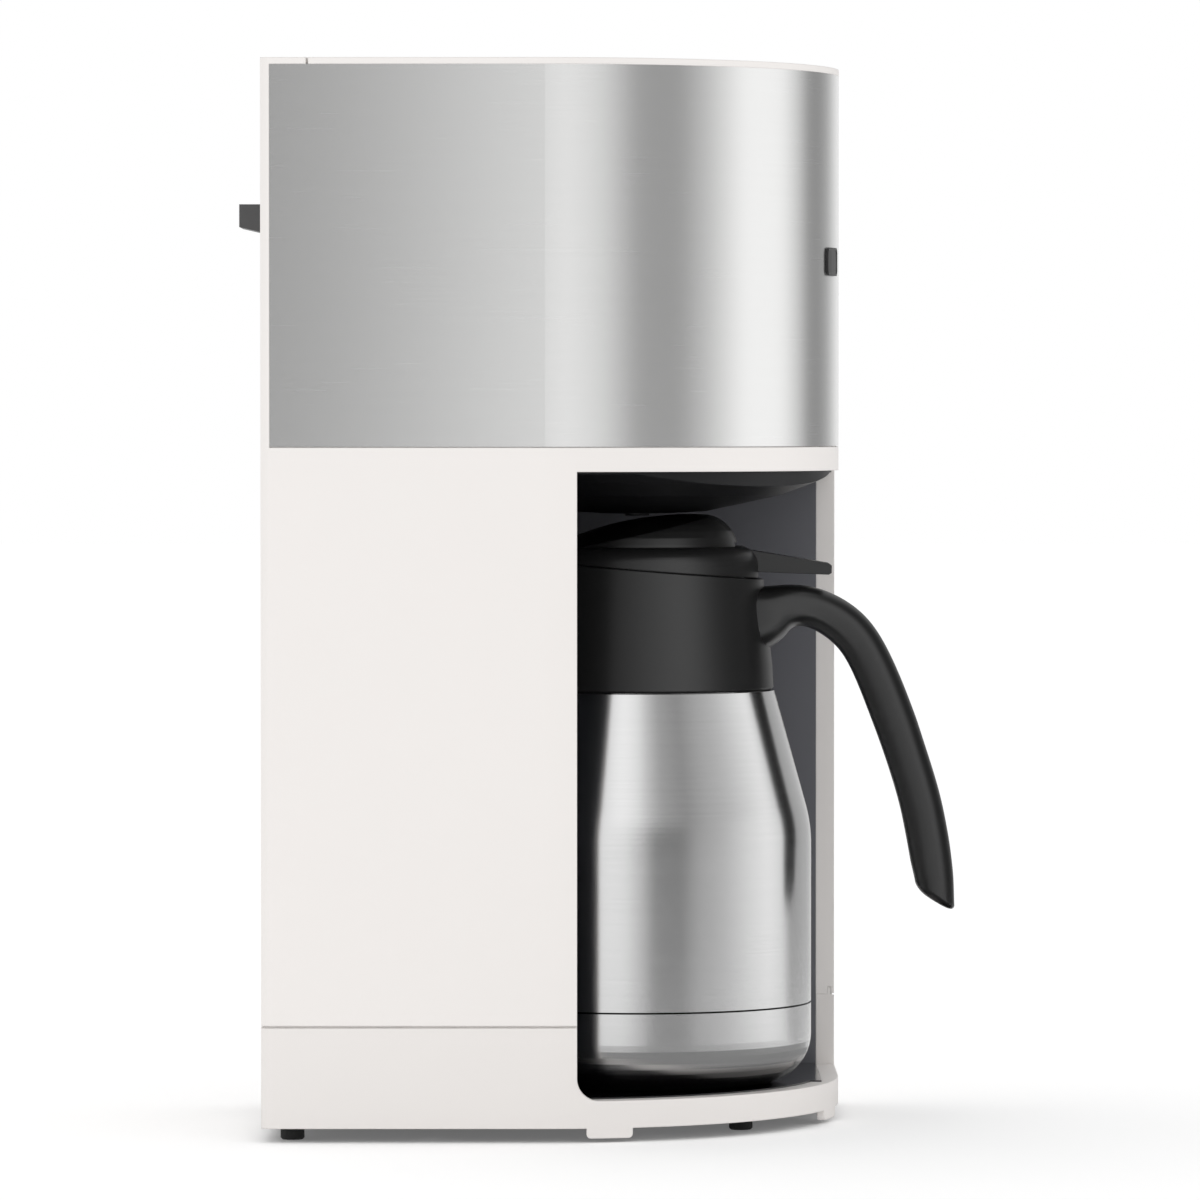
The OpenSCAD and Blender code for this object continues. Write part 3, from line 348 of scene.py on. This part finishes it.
finishes["zinc_steel"] = metal("zinc_steel", (0.62, 0.63, 0.65), 0.28, grain=900, depth=4 * micron)
finishes["cast_aluminium"] = metal("cast_aluminium", (0.56, 0.57, 0.58), 0.5, grain=420, depth=60 * micron)
finishes["spring_steel"] = metal("spring_steel", (0.60, 0.60, 0.60), 0.22, grain=900, depth=2 * micron)
finishes["silicone"] = soft("silicone", (0.78, 0.76, 0.72), 0.45, subsurface=0.3)
finishes["seal_silicone"] = soft("seal_silicone", (0.24, 0.24, 0.235), 0.55)
finishes["valve_silicone"] = soft("valve_silicone", (0.022, 0.022, 0.024), 0.5)
finishes["tank_plastic"] = soft("tank_plastic", (0.05, 0.05, 0.055), 0.18, alpha=0.82)
finishes["amber_lens"] = soft("amber_lens", (0.80, 0.30, 0.05), 0.12, alpha=0.9)
print(len(finishes), "finishes in all")

# %% Give every solid part the finish of its material slot
slot_of = {part["node"]: part["material_slot"] for part in frame["record"]["subparts"]}
for name, part in nodes.items():
    part.data.materials.clear()
    part.data.materials.append(finishes[slot_of[name]])
nodes["drip_hood"].data.materials[0] = finishes["hood_plastic"]
print("dressed", len(slot_of), "parts in", len(set(slot_of.values())), "finishes")

# %% [markdown]
# ## The stopper's spring
#
# Inside the pot's lid a small coil spring presses the pour stopper down. When the thumb lever lifts the
# stopper, the coils move together. The solid spring can't do that. A copy of its mesh, with data of its own,
# takes its place and rides on the pot.

# %% Stopper spring
spring = bpy.data.objects.new("stopper_spring", nodes["pour_spring"].data.copy())
bpy.context.scene.collection.objects.link(spring)
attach(spring, "pot")
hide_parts("pour_spring")
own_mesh(spring)

# %% [markdown]
# ## The pot's handle
#
# The grip leaves the collar as a broad root, arches over and hangs free, thinning to a lip at its end. It is
# a sweep: rounded sections, each turned square to the path, joined into one skin. The solid model has the
# same path in facets. Here each section has more points and each span more rings, the rings' path is eased
# into one flowing line, and the skin is smooth shaded, so that light runs down it unbroken. A last few rings
# that shrink along a quarter circle round off the lip. Near the root the skin is kept outside the collar.

# %% Handle
pot_axis = 0.013
collar_foot = 0.1522
collar_radius_mm = 42
roundness = 0.72
easing_passes = 26
eased_until = 60
cap_rings = 10
cap_turn = 8.8

# Each station is (x, z, half thickness, half width, slant) in millimetres from the pot's axis and the
# collar's foot. The slant is 0 for a section square to the path and 1 for one that leans by 45 degrees.
stations = [
    (34, 23.7, 13.4, 18.5, 0), (43.5, 25.4, 11.7, 18.5, 0), (48.5, 27.6, 9.1, 17.5, 0),
    (53.5, 29.3, 7.3, 15.8, 0), (62, 28.9, 7, 13.5, 0), (73, 22.6, 7.4, 12, 0), (80.2, 13.5, 7.2, 11.2, 0),
    (87.4, -3.4, 7.5, 10.5, 0), (93.8, -21.5, 7.3, 10.5, 0), (98.7, -37.5, 7.3, 10.5, 0),
    (101.6, -51.1, 7.3, 10.5, 0.1), (103.3, -62.4, 7.1, 10.3, 0.4), (104.3, -71.4, 6.4, 9.7, 0.75)]


def between(before, start, end, after, t):
    """A smooth curve from start to end that heads the way its neighbours lie."""
    return tuple(0.5 * (2 * b + (c - a) * t + (2 * a - 5 * b + 4 * c - d) * t * t
        + (3 * b - a - 3 * c + d) * t ** 3) for a, b, c, d in zip(before, start, end, after))


def rounded_section(half_thick, half_wide, points):
    """Points round a section that is fuller than an ellipse."""
    for k in range(points):
        c, s = math.cos(2 * math.pi * k / points), math.sin(2 * math.pi * k / points)
        yield (half_thick * math.copysign(abs(c) ** roundness, c),
            half_wide * math.copysign(abs(s) ** roundness, s))


def new_piece(name, mesh_maker, slot, body):
    """A mesh piece from a bmesh recipe, with its finish, its slot and the body that it rides on."""
    shape = bmesh.new()
    mesh_maker(shape)
    bmesh.ops.recalc_face_normals(shape, faces=shape.faces)
    mesh = bpy.data.meshes.new(name)
    shape.to_mesh(mesh)
    shape.free()
    piece = bpy.data.objects.new(name, mesh)
    bpy.context.scene.collection.objects.link(piece)
    mesh.materials.append(finishes[slot])
    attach(piece, body)
    return piece


def join_rings(shape, rings):
    """A closed skin over a row of rings with the same number of points."""
    for a, b in zip(rings, rings[1:]):
        for j in range(len(a)):
            k = (j + 1) % len(a)
            shape.faces.new((a[j], b[j], b[k], a[k]))
    shape.faces.new(rings[0])
    shape.faces.new(rings[-1])


def handle_path(steps, lip):
    """The path's rings, from the root to the lip's rounded end."""
    path = []
    last = len(stations) - 1
    for i in range(last * steps + 1):
        k, t = divmod(i, steps)
        around = [stations[min(max(k + j, 0), last)] for j in (-1, 0, 1, 2)]
        path.append(between(*around, t / steps))
    for _ in range(easing_passes):
        path[1:eased_until] = [
            tuple(0.5 * b + 0.25 * (a + c) for a, b, c in zip(path[i - 1], path[i], path[i + 1]))
            for i in range(1, eased_until)]
    before, tip = path[-2:]
    ahead = Vector((tip[0] - before[0], tip[1] - before[1])).normalized()
    for k in range(1, cap_rings + 1):
        turn = math.radians(cap_turn * k)
        lift, size = lip * math.sin(turn), math.cos(turn) ** 0.6
        path.append((tip[0] + ahead.x * lift, tip[1] + ahead.y * lift, tip[2] * size, tip[3] * size, tip[4]))
    return path


def sweep_handle(shape, steps=8, points=48):
    path = handle_path(steps, lip=3.3)
    rings = []
    for i, (x, z, thick, wide, slant) in enumerate(path):
        before, after = path[max(i - 1, 0)], path[min(i + 1, len(path) - 1)]
        along = Vector((after[0] - before[0], after[1] - before[1])).normalized()
        ring = []
        for out, side in rounded_section(max(thick, 0.3), max(wide, 0.6), points):
            px = x - out * (along.y - slant * along.x)
            pz = z + out * (along.x + slant * along.y)
            if math.hypot(px, side) < collar_radius_mm:
                px = math.sqrt(max(collar_radius_mm ** 2 - side ** 2, 1))
            ring.append(shape.verts.new((pot_axis + px / 1000, side / 1000, collar_foot + pz / 1000)))
        rings.append(ring)
    join_rings(shape, rings[steps // 2:])
    bmesh.ops.delete(shape, geom=[v for v in shape.verts if not v.link_faces], context="VERTS")


handle = new_piece("grip", sweep_handle, "black_plastic", "pot")
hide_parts("pot_handle")
for face in handle.data.polygons:
    face.use_smooth = True
print("handle skin of", len(handle.data.polygons), "faces")

# %% [markdown]
# ## The plate on the front
#
# High on the steel front sits a small dark plate, 1 mm thick, which follows the curve of the sheet. It is
# left blank. Rays sent at the steel find the curve, so that the plate lies on it wherever the sheet goes,
# and a narrow raised rim frames its face, as on a stamped plate.

# %% Front plate
plate_z = 0.3017
plate_half_width = 0.0066
plate_half_height = 0.0049
in_front = 0.5
flat_end = 0.00002


def plate_profile(tall, thick, rim):
    """The upright section as (height from -1 to 1, thickness): a rim, a sunk face and a rim."""
    step, slope, sunk = rim / tall, 1.5 * rim / tall, 0.7 * thick
    return [(-1, 0), (-1, thick), (-1 + step, thick), (-1 + slope, sunk),
        (1 - slope, sunk), (1 - step, thick), (1, thick), (1, 0)]


def plate_skin(shape, columns=28, thick=0.0009, rim=0.0006, corner=0.0018):
    steel = nodes["steel_wrap"]
    rings = []
    for i in range(columns + 1):
        side = plate_half_width * (2 * i / columns - 1)
        on_steel = steel.ray_cast(Vector((in_front, side, plate_z)), Vector((-1, 0, 0)))[1]
        inset = max(abs(side) - plate_half_width + corner, 0)
        tall = plate_half_height - corner + math.sqrt(max(corner ** 2 - inset ** 2, 0)) + flat_end
        ring = []
        for height, out in plate_profile(tall, thick, rim):
            lift = thick if out and i in (0, columns) else out
            ring.append(shape.verts.new((on_steel.x + lift, side, plate_z + height * tall)))
        rings.append(ring)
    join_rings(shape, rings)


plate = new_piece("front_plate", plate_skin, "black_plastic", "housing")
print("front plate of", len(plate.data.polygons), "faces at", [round(v, 4) for v in plate.bound_box[0]])

# %% [markdown]
# ## Floor, surroundings and light
#
# Polished and brushed metal shows what stands around it. In a studio that is large white diffusers with
# black flags between them: the diffusers give the broad bright bands on the steel, the flags give the dark
# ones that make it read as metal. Here one round screen carries them all, as brightness that changes with
# the bearing. The screens are stage pieces that only reflections can see, so the white plastic stays evenly
# lit by the pale surroundings. A photographer moves the diffusers until each surface looks its best, and
# light linking does that here: the wrap, the pot's black parts and all the rest have a screen each.

# %% The floor
def stage_sheet(name, corners, faces, material):
    mesh = bpy.data.meshes.new(name)
    mesh.from_pydata(corners, [], faces)
    sheet = bpy.data.objects.new(name, mesh)
    bpy.context.scene.collection.objects.link(sheet)
    mesh.materials.append(material)
    return sheet


reach = 12
floor_finish = Finish("floor").surface(Base_Color=(0.92, 0.92, 0.92, 1), Roughness=0.9,
    Specular_IOR_Level=0.0, Emission_Color=(1, 1, 1, 1), Emission_Strength=0.12)
stage_sheet("floor", [(-reach, -reach, 0), (reach, -reach, 0), (reach, reach, 0), (-reach, reach, 0)],
    [(0, 1, 2, 3)], floor_finish)
print("floor of", 2 * reach, "m")

# %% A helper for the screens
brightest = 2.0


def receivers(name, parts, state):
    """A list of the parts that a light is shown to (INCLUDE) or kept from (EXCLUDE)."""
    group = bpy.data.collections.new(name)
    for part in parts:
        group.objects.link(part)
    for entry in group.collection_objects:
        entry.light_linking.link_state = state
    return group


def band_glow(finish, bands):
    """Light whose brightness changes with the bearing from the machine's open side, in degrees."""
    point = finish.point()
    ahead = finish.axis(point, 1) * -1.0
    bearing = finish.node("ShaderNodeMath", {"operation": "ARCTAN2"}, {0: finish.axis(point, 0), 1: ahead})
    stops = [(0.5 + degrees / 360, (shade / brightest,) * 3) for degrees, shade in bands]
    shade = finish.node("ShaderNodeValToRGB", {"stops": stops}, {0: bearing * (0.5 / math.pi) + 0.5})
    return finish.node("ShaderNodeEmission", {}, {0: shade, 1: brightest})


def drum(name, profile, bands, shown_to, clear=0.0, sides=96):
    """A round screen that only reflections see. Its profile is (radius, height) points from the foot up,
    and clear is how much passes through from the screens behind it."""
    corners, walls = [], []
    rows = len(profile)
    for k in range(sides):
        a = 2 * math.pi * k / sides
        corners += [(radius * math.sin(a), -radius * math.cos(a), z) for radius, z in profile]
        n = (k + 1) % sides * rows
        walls += [[k * rows + j, n + j, n + j + 1, k * rows + j + 1] for j in range(rows - 1)]
    finish = Finish(name)
    through = finish.node("ShaderNodeBsdfTransparent", {}, {0: (clear, clear, clear, 1)})
    both = finish.node("ShaderNodeAddShader", {}, {0: band_glow(finish, bands), 1: through})
    finish.tree.links.new(both.socket, finish.tree.nodes["Material Output"].inputs["Surface"])
    screen = stage_sheet(name, corners, walls, finish.material)
    screen.visible_camera = False
    screen.visible_diffuse = False
    screen.visible_shadow = False
    screen.visible_transmission = False
    screen.light_linking.receiver_collection = shown_to
    return screen


print("the brightest that a screen can be:", brightest)

# %% The screens
# Each band is (bearing in degrees, brightness): bright where a diffuser stands, dark where a flag stands.
wrap_bands = [(-180, 0.9), (-140, 1.1), (-100, 0.8), (-60, 0.9), (-35, 0.5), (-15, 0.42), (-10, 0.55),
    (-5, 0.84), (-1, 1.08), (3, 1.18), (8, 1.14), (20, 0.93), (33, 0.42), (50, 0.42), (64, 0.80), (80, 1.34),
    (101, 1.34), (112, 0.86), (120, 0.36), (129, 0.34), (138, 0.5), (148, 0.85), (160, 1.05), (180, 0.9)]
body_bands = [(-180, 0.9), (-60, 1.0), (-30, 1.1), (-16, 1.2), (-7, 1.15), (3, 0.75), (12, 0.28), (28, 0.23),
    (40, 0.5), (56, 0.68), (76, 1.04), (92, 1.24), (106, 1.05), (116, 0.45), (150, 0.6), (180, 0.9)]
shoulder_bands = [(-180, 0.9), (-60, 0.9), (-40, 1.0), (-23, 1.15), (-10, 1.38), (1, 1.2), (9, 0.8),
    (18, 0.5), (34, 0.34), (50, 0.56), (66, 0.7), (84, 0.98), (100, 1.25), (112, 0.8), (122, 0.4),
    (150, 0.6), (180, 0.9)]
black_bands = [(-180, 0.3), (-110, 0.1), (-80, 0.3), (-62, 0.5), (-45, 0.36), (-30, 0.3), (-14, 0.5),
    (4, 0.95), (22, 1.3), (40, 1.7), (54, 1.3), (68, 0.4), (85, 0.1), (115, 0.15), (150, 0.5), (180, 0.3)]
table_bands = [(-180, 0.85), (180, 0.85)]
apron_bands = [(-180, 0.3), (180, 0.3)]

wrap = [nodes["steel_wrap"]]
pot_blacks = [nodes["pot_collar"], nodes["lid_dome"], nodes["pour_lever"], handle]
wrap_only = receivers("wrap_only", wrap, "INCLUDE")
blacks_only = receivers("blacks_only", pot_blacks, "INCLUDE")
others = receivers("others", wrap + pot_blacks, "EXCLUDE")

# From the inside out: under the machine, the apron's edge, and the three walls, one just inside the other.
under, apron, black_wall, wrap_wall, wall = 0.078, 0.2, 0.58, 0.59, 0.6
low, higher, shoulder, top = 0.0005, 0.0009, 0.26, 1.3
drums = [
    drum("screen_wrap", [(wrap_wall, higher), (wrap_wall, top)], wrap_bands, wrap_only, clear=1.0),
    drum("screen_table", [(under, higher), (wrap_wall, higher)], table_bands, wrap_only, clear=1.0),
    drum("screen_apron", [(under, low), (apron, low)], apron_bands, others),
    drum("screen_body", [(apron, low), (wall, low), (wall, shoulder)], body_bands, others),
    drum("screen_shoulder", [(wall, shoulder), (wall, top)], shoulder_bands, others),
    drum("screen_black", [(apron, low), (black_wall, low), (black_wall, top)], black_bands, blacks_only,
        clear=1.0)]
print("stage with", len(drums), "screens")

# %% [markdown]
# ## Even light and one softbox
#
# An evenly bright world stands for the white studio round the machine. One weak softbox, up at the front,
# lifts the front edges a little, so that the white mouldings don't go flat.

# %% Light
world = bpy.data.worlds.new("studio")
bpy.context.scene.world = world
world.use_nodes = True
world.node_tree.nodes["Background"].inputs["Color"].default_value = (1, 1, 1, 1)
world.node_tree.nodes["Background"].inputs["Strength"].default_value = 1.0


def softbox(name, place, aim, size, power):
    light = bpy.data.lights.new(name, "AREA")
    light.shape = "RECTANGLE"
    light.size, light.size_y = size
    light.energy = power
    lamp = bpy.data.objects.new(name, light)
    bpy.context.scene.collection.objects.link(lamp)
    lamp.location = place
    lamp.rotation_euler = (Vector(aim) - Vector(place)).to_track_quat("-Z", "Y").to_euler()
    return lamp


lamp = softbox("softbox_front", place=(0.9, -1.5, 0.9), aim=(0, 0, 0.2), size=(0.8, 1.2), power=0.8)
print("softbox of", lamp.data.energy, "W and a world of even light")
